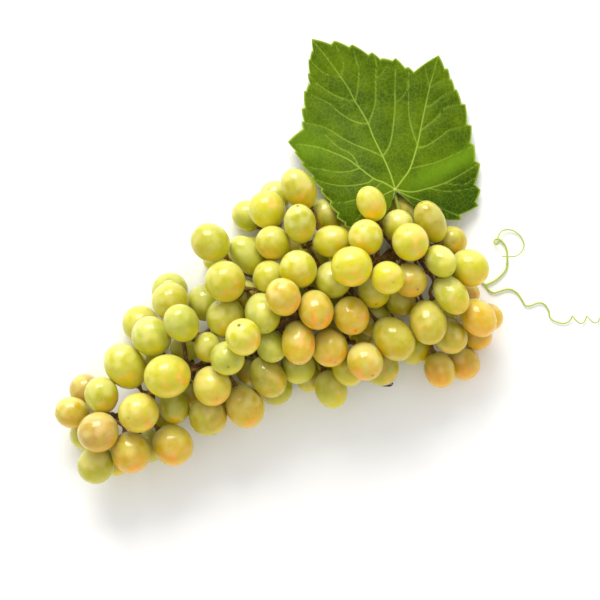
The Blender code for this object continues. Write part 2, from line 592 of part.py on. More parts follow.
def build_sprigs(berries, strands, plan, skin, collection, helpers):
    """Each sprig is one piece: a branch that runs on into one berry, a fork to the others, and the berries."""
    for number, (_, branch, pedicels) in enumerate(plan, 1):
        name = f"sprig_{number:02d}"
        line = strands.place[branch]
        ahead = (line[-1] - line[-2]) / np.linalg.norm(line[-1] - line[-2])
        ways = []
        for berry, row in pedicels:
            end = berries.centre[berry] - berries.axis[berry] * (berries.length[berry] / 2 - BURIED)
            ways.append(np.vstack([strands.place[row], end]))
        ways.sort(key=lambda way: -float(np.dot(way[-1] - way[0], ahead)) / np.linalg.norm(way[-1] - way[0]))
        ways = [even_route(way, STEM_FACETS) for way in ways]
        # A fork that lies against the main stem has no branch of its own.
        short = np.linalg.norm(line[-1] - line[0]) < STEM_FACETS / 2
        stem = line[-1:] if short else even_route(line, STEM_FACETS)
        trunk = np.vstack([stem, ways[0][1:]])
        sprig = mesh_object(name, tube_mesh(name, [(trunk, BRANCH_RADIUS)]), collection, skin)
        if len(ways) > 1:
            fork = np.vstack([ways[1][::-1], *[way[1:] for way in ways[2:]]])
            join_with(sprig, mesh_object(name + "_fork", tube_mesh(name + "_fork", [(fork, PEDICEL_RADIUS)]),
                                         helpers, skin))
        members = [berry for berry, _ in pedicels]
        fruit = mesh_object(name + "_berries", berry_mesh(name + "_berries", berries, members), helpers, skin)
        join_with(sprig, fruit)


def build_leaf(strands, stalk, blade_green, stem_green, collection):
    blade = mesh_object("leaf_blade", leaf_mesh(), collection, blade_green)
    shell = blade.modifiers.new("thickness", "SOLIDIFY")
    shell.thickness = LEAF_THICK * MM
    shell.offset = -1
    stalk_route = strands.place[stalk]
    mesh_object("leaf_stalk", tube_mesh("leaf_stalk", [(stalk_route, PETIOLE_RADIUS)]), collection, stem_green)


def build_tendril(green, collection, helpers):
    long_arm = smooth_route(TENDRIL_ROOT + TENDRIL_LONG_ARM, TENDRIL_FACETS)
    hooked_arm = smooth_route(TENDRIL_HOOKED_ARM, TENDRIL_FACETS)
    taper = np.linspace(1.25, 0.8, len(long_arm)) * TENDRIL_RADIUS
    tendril = mesh_object("tendril", tube_mesh("tendril", [(long_arm, taper)], sides=0), collection, green)
    thinning = np.linspace(1.05, 0.85, len(hooked_arm)) * TENDRIL_RADIUS
    arm_mesh = tube_mesh("tendril_arm", [(hooked_arm, thinning)], sides=0)
    join_with(tendril, mesh_object("tendril_arm", arm_mesh, helpers, green))


def centre_on_origin(collection, helpers):
    """Hangs every piece on one empty that puts the middle of the bunch's box, at its base, on the origin."""
    bpy.context.view_layer.update()
    graph = bpy.context.evaluated_depsgraph_get()
    low, high = np.full(3, np.inf), np.full(3, -np.inf)
    for piece in collection.objects:
        corners = np.array([piece.matrix_world @ Vector(c) for c in piece.evaluated_get(graph).bound_box])
        low, high = np.minimum(low, corners.min(axis=0)), np.maximum(high, corners.max(axis=0))
    hub = bpy.data.objects.new("bunch", None)
    collection.objects.link(hub)
    hub.location = (-(low[0] + high[0]) / 2, -(low[1] + high[1]) / 2, -low[2])
    for piece in [*collection.objects, *helpers.objects]:
        if piece is not hub:
            piece.parent = hub


def build():
    clear_scene()
    pieces = collection_named("grape_bunch")
    helpers = collection_named("helpers")
    skin = material_named("grape_skin", (0.62, 0.60, 0.12), 0.35)
    green_wood = material_named("green_stem", (0.30, 0.28, 0.08), 0.6)
    leaf_green = material_named("leaf_green", (0.13, 0.24, 0.02), 0.5)
    tendril_green = material_named("tendril_green", (0.35, 0.42, 0.08), 0.5)

    rachis = smooth_route(RACHIS_ROUTE, BEAD)
    shown = TIP_BERRIES + UPPER_BERRIES + MIDDLE_BERRIES + LOWER_BERRIES + SHOULDER_BERRIES + DEEP_BERRIES
    berries = Berries(fill_below(shown, rachis), rachis)
    strands, spine, stalk = fixed_strands(rachis)
    settle(berries, strands, *BEFORE_STEMS, [hold_ends(stalk, [])])
    sprigs = group_sprigs(berries)
    strands.home = strands.place.copy()
    plan = grow_sprigs(strands, berries, sprigs, spine)
    settle(berries, strands, *WITH_STEMS, [hold_ends(stalk, plan)])

    build_sprigs(berries, strands, plan, skin, pieces, helpers)
    every = spine[::2]
    stem = tube_mesh("rachis", [(strands.place[every], strands.radius[every])])
    mesh_object("rachis", stem, pieces, green_wood)
    build_leaf(strands, stalk, leaf_green, green_wood, pieces)
    build_tendril(tendril_green, pieces, helpers)
    centre_on_origin(pieces, helpers)


build()
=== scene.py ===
import heapq
import math

import bmesh
import bpy
import numpy as np
from mathutils import Matrix, Vector, noise
from mathutils.bvhtree import BVHTree


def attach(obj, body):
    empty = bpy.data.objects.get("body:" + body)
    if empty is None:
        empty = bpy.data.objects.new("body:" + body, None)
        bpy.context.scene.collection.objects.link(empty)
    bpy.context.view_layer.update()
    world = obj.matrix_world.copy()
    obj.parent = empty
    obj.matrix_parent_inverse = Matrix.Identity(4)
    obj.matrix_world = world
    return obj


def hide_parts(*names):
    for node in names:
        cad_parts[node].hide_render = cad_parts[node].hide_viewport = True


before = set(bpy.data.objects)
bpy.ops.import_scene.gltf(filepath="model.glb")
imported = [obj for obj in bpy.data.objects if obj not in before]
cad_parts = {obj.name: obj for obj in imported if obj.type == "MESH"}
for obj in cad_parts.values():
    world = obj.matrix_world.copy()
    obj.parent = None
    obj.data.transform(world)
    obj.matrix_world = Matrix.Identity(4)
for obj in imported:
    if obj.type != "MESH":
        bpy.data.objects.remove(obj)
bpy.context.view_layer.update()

mm = 0.001

# --------------------------------------------------------------------------------------------------
# The main stem. It runs through the middle of the bunch from the tip to the cut stalk: a young woody
# stem, ochre to red brown and matt, with a fine split skin, thicker where a side branch grows from it.


def linear(code):
    """An sRGB hex colour as linear red, green, blue and alpha."""
    parts = [int(code[i:i + 2], 16) / 255 for i in (1, 3, 5)]
    return (*[p / 12.92 if p <= 0.04045 else ((p + 0.055) / 1.055) ** 2.4 for p in parts], 1.0)


def add_node(tree, kind, settings, links=None):
    """Adds a shader node with its own settings and socket values, and links sockets into its inputs."""
    made = tree.nodes.new(kind)
    for key, value in settings.items():
        if isinstance(key, str) and hasattr(made, key):
            setattr(made, key, value)
        else:
            made.inputs[key].default_value = value
    for key, socket in (links or {}).items():
        tree.links.new(socket, made.inputs[key])
    return made


def solid_of(node):
    """A node's points in millimetres, each once, with its triangles as rows of their numbers."""
    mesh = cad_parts[node].data
    mesh.calc_loop_triangles()
    every = np.array([v.co for v in mesh.vertices]) / mm
    points, number = np.unique(every.round(3), axis=0, return_inverse=True)
    triangles = number.reshape(-1)[np.array([t.vertices[:] for t in mesh.loop_triangles])]
    return points, triangles


def edges_of(triangles):
    return np.concatenate([triangles[:, [0, 1]], triangles[:, [1, 2]], triangles[:, [2, 0]]])


def groups_of(count, pairs):
    """Gives every point the lowest number among the points that it is joined to."""
    label = np.arange(count)
    while True:
        before = label.copy()
        low = np.minimum(label[pairs[:, 0]], label[pairs[:, 1]])
        np.minimum.at(label, pairs[:, 0], low)
        np.minimum.at(label, pairs[:, 1], low)
        if (label == before).all():
            return label


def rings_of(points, triangles, side, wanted=None):
    """The middles and radii of a tube's rings, whose sides are shorter than this, and which rings meet.

    Only the wanted points count, or all of them."""
    wanted = np.ones(len(points), bool) if wanted is None else wanted
    pairs = edges_of(triangles)
    pairs = pairs[wanted[pairs].all(axis=1)]
    lengths = np.linalg.norm(points[pairs[:, 0]] - points[pairs[:, 1]], axis=1)
    label = groups_of(len(points), pairs[lengths < side])
    names = np.unique(label[wanted])
    middles, radii = [], []
    for name in names:
        ring = points[wanted & (label == name)]
        middles.append(ring.mean(axis=0))
        radii.append(np.linalg.norm(ring - middles[-1], axis=1).mean())
    meets = np.searchsorted(names, label[pairs])
    return np.array(middles), np.array(radii), meets[meets[:, 0] != meets[:, 1]]


def ways_from(middles, meets, start):
    """For every ring, the ring before it on the shortest way from the start."""
    near = {}
    for a, b in meets:
        near.setdefault(int(a), set()).add(int(b))
        near.setdefault(int(b), set()).add(int(a))
    before, far, todo = {start: None}, {start: 0.0}, [(0.0, start)]
    while todo:
        length, here = heapq.heappop(todo)
        for there in near.get(here, ()):
            longer = length + float(np.linalg.norm(middles[there] - middles[here]))
            if longer < far.get(there, 1e9):
                far[there] = longer
                before[there] = here
                heapq.heappush(todo, (longer, there))
    return before, far


def way_to(before, goal):
    way = [goal]
    while before[way[-1]] is not None:
        way.append(before[way[-1]])
    return way[::-1]


def smooth_line(points, spacing, *along_it):
    """A curve through the points at an even spacing, with any values given along them."""
    knots = np.array(points, float)
    values = np.column_stack([knots, *[np.array(v, float) for v in along_it]])
    padded = np.vstack([2 * values[0] - values[1], values, 2 * values[-1] - values[-2]])
    fine = []
    for a, b, c, d in zip(padded[:-3], padded[1:-2], padded[2:-1], padded[3:]):
        for t in np.linspace(0, 1, 16, endpoint=False):
            fine.append(0.5 * (2 * b + (c - a) * t + (2 * a - 5 * b + 4 * c - d) * t**2
                               + (3 * b - 3 * c + d - a) * t**3))
    fine = np.array(fine + [values[-1]])
    along = np.concatenate([[0], np.cumsum(np.linalg.norm(np.diff(fine[:, :3], axis=0), axis=1))])
    stations = np.linspace(0, along[-1], max(3, round(along[-1] / spacing) + 1))
    return np.column_stack([np.interp(stations, along, fine[:, k]) for k in range(values.shape[1])])


def add_tube(work, line, radii, sides, round_ends=(True, True)):
    """Adds a closed tube along a line in millimetres, with round or flat ends. Gives its rings."""
    line, radii = np.array(line, float), np.array(radii, float)
    for end, rounded in ((-1, round_ends[1]), (0, round_ends[0])):
        inner = line[-2] if end else line[1]
        ahead = (line[end] - inner) / np.linalg.norm(line[end] - inner)
        # A round end is two more rings, each a little further out and smaller than the last.
        for step, shrink in (((0.4, 0.8), (0.28, 0.62)) if rounded else ()):
            spot = line[end] + ahead * radii[end] * step
            size = radii[end] * shrink
            line = np.vstack([line, spot]) if end else np.vstack([spot, line])
            radii = np.append(radii, size) if end else np.append(size, radii)
    tangents = np.gradient(line, axis=0)
    tangents /= np.linalg.norm(tangents, axis=1)[:, None]
    across = np.cross(tangents[0], (0, 0, 1) if abs(tangents[0][2]) < 0.9 else (1, 0, 0))
    rings = []
    for spot, ahead, radius in zip(line, tangents, radii):
        across = across - np.dot(across, ahead) * ahead
        across = across / np.linalg.norm(across)
        other = np.cross(ahead, across)
        turns = np.linspace(0, 2 * math.pi, sides, endpoint=False)
        ring = spot + radius * (np.cos(turns)[:, None] * across + np.sin(turns)[:, None] * other)
        rings.append([work.verts.new(p) for p in ring])
    for here, there in zip(rings, rings[1:]):
        for k in range(sides):
            work.faces.new((here[k], here[(k + 1) % sides], there[(k + 1) % sides], there[k]))
    work.faces.new(rings[0][::-1])
    work.faces.new(rings[-1])
    return rings


def piece_of(name, work, material):
    """Turns a bmesh in millimetres into a smooth-shaded piece in metres."""
    bmesh.ops.recalc_face_normals(work, faces=work.faces)
    mesh = bpy.data.meshes.new(name)
    work.to_mesh(mesh)
    work.free()
    mesh.transform(Matrix.Scale(mm, 4))
    mesh.materials.append(material)
    mesh.shade_smooth()
    made = bpy.data.objects.new(name, mesh)
    bpy.context.scene.collection.objects.link(made)
    return made


# Bark of one season's growth: matt and rough to the eye, with cracks about 0.9 mm apart and darker
# blotches some 3 mm across.
young_bark = bpy.data.materials.new("young_vine_bark")
young_bark.use_nodes = True
tree = young_bark.node_tree
shader = tree.nodes["Principled BSDF"]
place = add_node(tree, "ShaderNodeTexCoord", {})
blotches = add_node(tree, "ShaderNodeTexNoise", {"Scale": 1 / (3.2 * mm), "Detail": 5.0, "Roughness": 0.62},
                    {"Vector": place.outputs["Object"]})
blotched = add_node(tree, "ShaderNodeMapRange", {"From Min": 0.38, "From Max": 0.64},
                    {"Value": blotches.outputs[0]})
cracks = add_node(tree, "ShaderNodeTexVoronoi", {"feature": "DISTANCE_TO_EDGE", "Scale": 1 / (0.9 * mm)},
                  {"Vector": place.outputs["Object"]})
crack_lines = add_node(tree, "ShaderNodeMapRange",
                       {"From Min": 0.0, "From Max": 0.16, "To Min": 1.0, "To Max": 0.0},
                       {"Value": cracks.outputs["Distance"]})
ochre_brown = add_node(tree, "ShaderNodeMix",
                       {"data_type": "RGBA", 6: linear("#A67E38"), 7: linear("#6A4216")},
                       {0: blotched.outputs[0]})
split_skin = add_node(tree, "ShaderNodeMix", {"data_type": "RGBA", 7: linear("#2C1408")},
                      {0: crack_lines.outputs[0], 6: ochre_brown.outputs[2]})
rough_skin = add_node(tree, "ShaderNodeBump", {"invert": True, "Strength": 0.5, "Distance": 0.25 * mm},
                      {"Height": crack_lines.outputs[0]})
tree.links.new(split_skin.outputs[2], shader.inputs["Base Color"])
tree.links.new(rough_skin.outputs[0], shader.inputs["Normal"])
shader.inputs["Roughness"].default_value = 0.68
shader.inputs["Specular IOR Level"].default_value = 0.35

# Its line from the tip to the cut end, with its radius along it.
points, triangles = solid_of("rachis")
middles, radii, meets = rings_of(points, triangles, side=3.6)
tip_ring = int(np.argmin(middles[:, 0]))
before, far = ways_from(middles, meets, tip_ring)
order = way_to(before, max(far, key=far.get))
main_line = smooth_line(middles[order], 0.9, radii[order])


def foot_on_stem(point):
    """The number of the main stem's point that is nearest to this point."""
    return int(np.argmin(np.linalg.norm(main_line[:, :3] - point, axis=1)))


# Each sprig of the part is a branch with its stalks and berries. They are read here, in millimetres, since
# the main stem is thicker at the branches' feet.
skin_side = 3.2        # all sides of a berry's facets are longer than this, and a stalk has shorter ones
fewest_corners = 14    # a patch of such facets with fewer corners than this isn't a berry
table_level = 0.05     # a point below this lies on the table's plane
skin_share = 0.03      # a point this near to a berry's spheroid, as a share of its size, is on the skin


def spheroid_through(spots):
    """The centre, long axis, half width and half length of the spheroid that fits these points best."""
    middle = spots.mean(axis=0)
    x, y, z = (spots - middle).T
    terms = np.column_stack([x * x, y * y, z * z, 2 * x * y, 2 * x * z, 2 * y * z, 2 * x, 2 * y, 2 * z])
    q = np.linalg.lstsq(terms, np.ones(len(spots)), rcond=None)[0]
    form = np.array([[q[0], q[3], q[4]], [q[3], q[1], q[5]], [q[4], q[5], q[2]]])
    offset = -np.linalg.solve(form, q[6:])
    values, ways = np.linalg.eigh(form / (1 + offset @ form @ offset))
    return middle + offset, ways[:, 0], (values[1] * values[2]) ** -0.25, values[0] ** -0.5


def fruits_and_stalks(points, triangles):
    """Each berry's centre, axis, half width and half length, and which of the points are the stalks'."""
    corners = points[triangles]
    shortest = np.linalg.norm(corners - np.roll(corners, 1, axis=1), axis=2).min(axis=1)
    skin = triangles[shortest > skin_side]
    label = groups_of(len(points), edges_of(skin))
    label[~np.isin(np.arange(len(points)), skin)] = -1
    stalks = points[:, 2] > table_level
    fruits = []
    for name in np.unique(label[label >= 0]):
        spots = points[(label == name) & (points[:, 2] > table_level)]
        if len(spots) < fewest_corners:
            continue
        centre, axis, half_width, half_length = spheroid_through(spots)
        reach = (points - centre) @ axis
        aside = np.linalg.norm(points - centre - reach[:, None] * axis, axis=1)
        stalks &= np.abs(np.hypot(reach / half_length, aside / half_width) - 1) >= skin_share
        fruits.append([centre, axis, half_width, half_length])
    for fruit in fruits:
        centre, axis, half_width, half_length = fruit
        # Its axis points from the stalk to the flower's end, so the stalk has to be at the back.
        beyond = (half_length + 2.5) * axis
        gaps = [np.linalg.norm(points[stalks] - end, axis=1) for end in (centre - beyond, centre + beyond)]
        closeness = [(gap < 4.5).sum() - 0.01 * gap.min() for gap in gaps]
        if closeness[1] > closeness[0]:
            fruit[1] = -axis
    return fruits, stalks


sprigs = sorted(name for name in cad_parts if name.startswith("sprig_"))
fruits_on, stalk_rings, feet = {}, {}, {}
for sprig in sprigs:
    points, triangles = solid_of(sprig)
    fruits_on[sprig], stalks = fruits_and_stalks(points, triangles)
    middles, _, meets = rings_of(points, triangles, side=1.7, wanted=stalks)
    gaps = [np.linalg.norm(main_line[:, :3] - spot, axis=1).min() for spot in middles]
    root = int(np.argmin(gaps))
    stalk_rings[sprig] = (middles, meets, root)
    feet[sprig] = foot_on_stem(middles[root])

# The stem is thicker at the branches' feet, and five low ribs wind round it.
stem_sides = 20
along_stem = np.arange(len(main_line))
swelling = sum(0.55 * np.exp(-((along_stem - foot) / 2.6) ** 2) for foot in sorted(set(feet.values())))
work = bmesh.new()
stem_size = main_line[:, 3] * 1.04 + np.minimum(swelling, 0.8)
for k, ring in enumerate(add_tube(work, main_line[:, :3], stem_size, stem_sides, (True, False))):
    middle = Vector(np.mean([corner.co for corner in ring], axis=0))
    for j, corner in enumerate(ring):
        rib = 0.05 * math.cos(5 * 2 * math.pi * j / stem_sides + 0.08 * k)
        corner.co = middle + (corner.co - middle) * (1 + rib + 0.06 * noise.noise(corner.co / 4.0))
main_stem = piece_of("main_stem", work, young_bark)
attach(main_stem, "root")
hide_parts("rachis")

# --------------------------------------------------------------------------------------------------
# The berries. Each is a ripe white table grape: translucent flesh in a thin smooth skin, yellow green
# where it grew in the shade and golden or blushed where the sun caught it, under a thin pale wax. Its
# colour also holds painted light: a pale painted highlight on the side towards the window lamp, and a
# golden painted glow on the side turned away. A berry grows from the end of its stalk, and keeps the small
# brown scar of its flower at the other end.

grapes = [(sprig, *fruit) for sprig in sprigs for fruit in fruits_on[sprig]]

# Skin and flesh, which glow softly under a clear wet gloss. Red and green light go about 6 mm into the
# flesh, and blue under 1 mm. The wax is uneven over 5 to 8 mm, and the lenticels, dots 0.1 mm across and
# about 2 mm apart, are drawn three times as wide so that they show.
grape_skin = bpy.data.materials.new("waxy_grape_skin")
grape_skin.use_nodes = True
tree = grape_skin.node_tree
shader = tree.nodes["Principled BSDF"]
place = add_node(tree, "ShaderNodeTexCoord", {})
tone = add_node(tree, "ShaderNodeAttribute", {"attribute_name": "tone"})
scar = add_node(tree, "ShaderNodeAttribute", {"attribute_name": "scar"})
cloudy = add_node(tree, "ShaderNodeTexNoise", {"Scale": 1 / (5.5 * mm), "Detail": 4.0, "Roughness": 0.55},
                  {"Vector": place.outputs["Object"]})
clouds = add_node(tree, "ShaderNodeMapRange",
                  {"From Min": 0.35, "From Max": 0.65, "To Min": 0.0, "To Max": 0.35},
                  {"Value": cloudy.outputs[0]})
paler = add_node(tree, "ShaderNodeMix", {"data_type": "RGBA", 7: linear("#C8CC4A")},
                 {0: clouds.outputs[0], 6: tone.outputs["Color"]})
dots = add_node(tree, "ShaderNodeTexVoronoi", {"Scale": 1 / (2.1 * mm)},
                {"Vector": place.outputs["Object"]})
specks = add_node(tree, "ShaderNodeMapRange",
                  {"From Min": 0.05, "From Max": 0.13, "To Min": 0.35, "To Max": 0.0},
                  {"Value": dots.outputs["Distance"]})
dotted = add_node(tree, "ShaderNodeMix", {"data_type": "RGBA", 7: linear("#8C7020")},
                  {0: specks.outputs[0], 6: paler.outputs[2]})
rubbed = add_node(tree, "ShaderNodeTexNoise",
                  {"Scale": 1 / (7.5 * mm), "Detail": 7.0, "Roughness": 0.6, "Distortion": 0.4},
                  {"Vector": place.outputs["Object"]})
wax = add_node(tree, "ShaderNodeMapRange",
               {"From Min": 0.44, "From Max": 0.74, "To Min": 0.0, "To Max": 0.16},
               {"Value": rubbed.outputs[0]})
waxed = add_node(tree, "ShaderNodeMix", {"data_type": "RGBA", 7: linear("#E6E6B8")},
                 {0: wax.outputs[0], 6: dotted.outputs[2]})
scarred = add_node(tree, "ShaderNodeMix", {"data_type": "RGBA", 7: linear("#4A2C12")},
                   {0: scar.outputs["Fac"], 6: waxed.outputs[2]})
dull = add_node(tree, "ShaderNodeMapRange",
                {"From Min": 0.0, "From Max": 0.16, "To Min": 0.3, "To Max": 0.46},
                {"Value": wax.outputs[0]})
peel = add_node(tree, "ShaderNodeTexNoise", {"Scale": 1 / (0.8 * mm), "Detail": 2.0},
                {"Vector": place.outputs["Object"]})
dimples = add_node(tree, "ShaderNodeBump", {"Strength": 0.12, "Distance": 0.06 * mm},
                   {"Height": peel.outputs[0]})
tree.links.new(scarred.outputs[2], shader.inputs["Base Color"])
tree.links.new(dull.outputs[0], shader.inputs["Roughness"])
tree.links.new(dimples.outputs[0], shader.inputs["Normal"])
shader.inputs["Subsurface Weight"].default_value = 0.75
shader.inputs["Subsurface Radius"].default_value = (1.0, 0.85, 0.14)
shader.inputs["Subsurface Scale"].default_value = 6.5 * mm
shader.inputs["Specular IOR Level"].default_value = 0.1
shader.inputs["Coat Weight"].default_value = 0.75
shader.inputs["Coat Roughness"].default_value = 0.07
shader.inputs["Sheen Weight"].default_value = 0.22
shader.inputs["Sheen Roughness"].default_value = 0.25
shader.inputs["Sheen Tint"].default_value = linear("#FFEE9A")

# How ripe a berry is: its colour, the colour of its sunny cheek, and the places along and across the bunch,
# in millimetres, of the berries that have them. The rest have one of the yellow greens of the shade.
ripeness = {
    "blushed": ("#C29C3E", "#C88444", [(-127, -32), (-126, -9)]),
    "creamy": ("#D2BE30", "#DA9828", [(-103, -33), (-59, -37), (-40, -26)]),
    "amber": ("#DAAA0A", "#DE9012", [(55, -89), (69, -91), (85, -71), (82, -82), (86, -58), (91, -76)]),
    "golden": ("#CEAC0A", "#DA9012", [
        (-5, -14), (-9, -38), (6, -50), (9, -27.5), (25, -39), (62, -36), (20, -64), (-48, -57), (-69, -54),
        (-94, -58), (-119, -49), (-138, -15)]),
    "bright": ("#D2C802", "#DEA814", [
        (10, -5), (51, -30), (71, -18), (55, -8), (-35, -23), (95, -45), (63, 6), (38, -15), (10, 33),
        (-79, -23)]),
    "pale": ("#BABC3A", "#C8BE2C", [
        (-58, -1.5), (-78, 1), (-17, -18), (-58, 19), (-21, -32), (-15, -52), (-43, 4), (17, 37), (1, 33),
        (-10, 16), (-49, -29), (81, -36)]),
    "olive": ("#B6A602", "#C8A00A", [
        (59, -61), (40, -61), (67, -74), (-71, -52), (-31, -48), (52, -46), (87, -15), (91, -30)]),
}
shade_tones = [("#C2B808", "#D0A40C"), ("#C6C020", "#D2B018"), ("#B4B00E", "#C8A212")]
# Where berries lie over each other at a place, the higher one is meant.
tones = {}
for colour, cheek, places in ripeness.values():
    for x, y in places:
        away = [math.hypot(middle[0] - x, middle[1] - y) - 0.25 * middle[2] for _, middle, *_ in grapes]
        tones[int(np.argmin(away))] = (colour, cheek)

# A unit berry: rings from the stalk's end at -1 to the flower's end at 1, closer together at the ends.
ring_count, turn_count = 34, 48
slopes = math.pi * (np.arange(1, ring_count) / ring_count)
slopes = slopes - 0.18 * np.sin(2 * slopes)
unit_along = np.concatenate([[-1.0], np.repeat(-np.cos(slopes), turn_count), [1.0]])
unit_out = np.concatenate([[0.0], np.repeat(np.sin(slopes), turn_count), [0.0]])
turns = np.arange(turn_count) * 2 * math.pi / turn_count
unit_turn = np.concatenate([[0.0], np.tile(turns, ring_count - 1), [0.0]])
flower_end = 1 + (ring_count - 1) * turn_count
skin_faces = []
for k in range(turn_count):
    beside = (k + 1) % turn_count
    skin_faces.append((0, 1 + beside, 1 + k))
    for ring in range(ring_count - 2):
        here = 1 + ring * turn_count
        there = here + turn_count
        skin_faces.append((here + k, here + beside, there + beside, there + k))
    skin_faces.append((there + k, there + beside, flower_end))

painted_light_side = np.array((0.22, 0.86, 0.46))    # towards the window lamp, over the leaf, and up, one unit long: the side with the painted highlight
fuller = 0.3            # neighbours press together, so each is this much fuller than in the part
pressed_below = 0.5     # the lowest berries lie pressed flat on the table below this height
for number, (sprig, centre, axis, half_width, half_length) in enumerate(grapes):
    rng = np.random.default_rng(100 + number)
    across = np.cross(axis, (0.31, 0.17, 0.93))
    across /= np.linalg.norm(across)
    other = np.cross(axis, across)
    # A little fuller towards the flower's end, dimpled round the stalk, and never quite round.
    width = half_width * (1 + 0.03 * unit_along)
    out = unit_out * width
    along = unit_along * half_length
    along = along + 0.9 * np.exp(-(out / 1.9) ** 2) * (unit_along < 0)
    along = along - 0.35 * np.exp(-(out / 1.5) ** 2) * (unit_along > 0)
    flattened = 0.010 * np.cos(2 * unit_turn + rng.uniform(0, 6))
    flattened = flattened + 0.005 * np.cos(3 * unit_turn + rng.uniform(0, 6))
    out = out * (1 + flattened)
    way_out = np.cos(unit_turn)[:, None] * across + np.sin(unit_turn)[:, None] * other
    spots = centre + along[:, None] * axis + out[:, None] * way_out
    facing = (spots - centre) / np.linalg.norm(spots - centre, axis=1)[:, None]
    spots = spots + fuller * facing
    sunk = np.minimum(spots[:, 2] - pressed_below, 0.0)
    spots[:, 2] = np.where(sunk < 0, pressed_below * np.exp(sunk / pressed_below), spots[:, 2])

    # Its colour turns to its cheek's on one side, in blots, and is greener round its stalk. The cheek is a
    # real blush, but it is put mostly on the upper side turned away from the window lamp, so it is also a
    # painted glow that stands in for light shining through the flesh.
    shade_tone = shade_tones[int(rng.integers(3))]
    body_code, cheek_code = tones.get(number, shade_tone)
    body, cheek = np.array(linear(body_code)[:3]), np.array(linear(cheek_code)[:3])
    body = body * rng.uniform(0.78, 0.92)
    cheek_and_glow_side = Vector((0.6 * rng.normal(), 0.6 * rng.normal() - 0.7, 0.9)).normalized()
    strength = rng.uniform(0.5, 1.1)
    blush_and_glow = np.clip((facing @ np.array(cheek_and_glow_side) - 0.4) / 0.6, 0, 1) ** 1.2 * strength
    blots = np.array([noise.noise(Vector(spot) / 5.0 + Vector((number, 0, 0))) for spot in spots])
    blush_and_glow = blush_and_glow * (0.55 + 1.6 * blots)
    blush_and_glow = np.clip(blush_and_glow, 0, 1)[:, None]
    green_end = np.clip((-0.35 - unit_along) / 0.65, 0, 1)[:, None] * 0.45
    colour = body * (1 - blush_and_glow) + cheek * blush_and_glow
    colour = colour * (1 - green_end) + np.array(linear("#A9B94A")[:3]) * green_end
    # The pale strands in its flesh, from end to end just under the skin, show through faintly.
    strands = np.cos(4.5 * unit_turn + rng.uniform(0, 3)) ** 8 * unit_out
    colour = colour * (1 + 0.06 * strands[:, None])
    # Painted light. Pale patches, blotched like thick wax, lie on the side turned towards the window lamp
    # as a painted highlight. The side turned away is painted brighter and golden, a painted glow that
    # stands in for light passing through the flesh.
    towards_lamp = facing @ painted_light_side
    # The painted highlight: how much of the pale colour each point gets.
    thick = np.clip((towards_lamp - 0.4 + 0.9 * blots) / 0.4, 0, 1) * rng.uniform(0.2, 0.55)
    painted_glow = np.clip((0.2 - towards_lamp) / 0.8, 0, 1)[:, None]
    colour = colour * (1 + painted_glow * np.array([0.5, 0.36, -0.95]))
    wax_and_highlight_colour = 0.3 * body + 0.7 * np.array(linear("#F2ECAE")[:3])
    colour = colour * (1 - thick[:, None]) + wax_and_highlight_colour * thick[:, None]
    # The flower's scar is a brown dot, larger on every seventeenth berry.
    scar_size = rng.uniform(0.35, 0.65) + (0.5 if number % 17 == 3 else 0.0)
    from_tip = np.hypot(out, half_length - along)
    scarred_skin = np.clip(1.3 - from_tip / scar_size, 0, 1)

    name = f"berry_{number + 1:03d}"
    mesh = bpy.data.meshes.new(name)
    mesh.from_pydata([tuple(spot * mm) for spot in spots], [], skin_faces)
    mesh.attributes.new("tone", "FLOAT_COLOR", "POINT").data.foreach_set(
        "color", np.column_stack([colour, np.ones(len(colour))]).astype(np.float32).ravel())
    mesh.attributes.new("scar", "FLOAT", "POINT").data.foreach_set("value", scarred_skin.astype(np.float32))
    mesh.materials.append(grape_skin)
    mesh.shade_smooth()
    berry = bpy.data.objects.new(name, mesh)
    bpy.context.scene.collection.objects.link(berry)
    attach(berry, "root")
    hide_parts(sprig)

# --------------------------------------------------------------------------------------------------
# The branches. Each grows out of the main stem and forks into the stalks of two or three berries, and a
# stalk swells into a small seat where the berry sits on it. Same young bark as the main stem, grown as one
# piece.

branch_radius, stalk_radius, seat_radius = 1.5, 1.0, 2.0
seat_depth = 0.9       # how far a seat reaches into the dimple round its berry's stalk
for sprig in sprigs:
    middles, meets, root = stalk_rings[sprig]
    before, far = ways_from(middles, meets, root)
    work = bmesh.new()
    drawn = set()
    for centre, axis, half_width, half_length in fruits_on[sprig]:
        seat = centre - (half_length - seat_depth) * axis
        end = min(far, key=lambda ring: np.linalg.norm(middles[ring] - seat))
        way = way_to(before, end)
        fresh = [ring for ring in way if ring not in drawn]
        shared = [ring for ring in way if ring in drawn]
        drawn.update(way)
        # The first stalk is drawn from the main stem on, and the others from the fork where they leave it.
        if shared:
            route, start_radius = [middles[shared[-1]]], stalk_radius
        else:
            route, start_radius = [main_line[feet[sprig]][:3]], branch_radius
        route += [middles[ring] for ring in fresh if np.linalg.norm(middles[ring] - seat) > 2.5]
        line = smooth_line([*route, seat - 2.2 * axis, seat], 0.7)[:, :3]
        along = np.concatenate([[0], np.cumsum(np.linalg.norm(np.diff(line, axis=0), axis=1))])
        left = along[-1] - along
        knee = 0.35 * np.exp(-(along / 2) ** 2) if shared else 0.9 * np.exp(-((along - 2.4) / 1.6) ** 2)
        size = np.interp(along, [0, along[-1] * 0.7, along[-1]], [start_radius, stalk_radius, stalk_radius])
        size = size + knee + (seat_radius - stalk_radius) * np.exp(-((left - 0.8) / 1.25) ** 2)
        add_tube(work, line, size, 12)
    branch = piece_of(sprig.replace("sprig", "branch"), work, young_bark)
    grown = branch.modifiers.new("grown together", "REMESH")
    grown.mode = "VOXEL"
    grown.voxel_size = 0.42 * mm
    grown.use_smooth_shade = True
    softened = branch.modifiers.new("softened", "SMOOTH")
    softened.factor = 0.5
    softened.iterations = 2
    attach(branch, "root")
    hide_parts(sprig)

# --------------------------------------------------------------------------------------------------
# The leaf's stalk. It grows from the main stem up between the shoulder berries to the notch of the blade:
# a green shoot, smooth and a little shiny, with a shallow groove along its upper side.

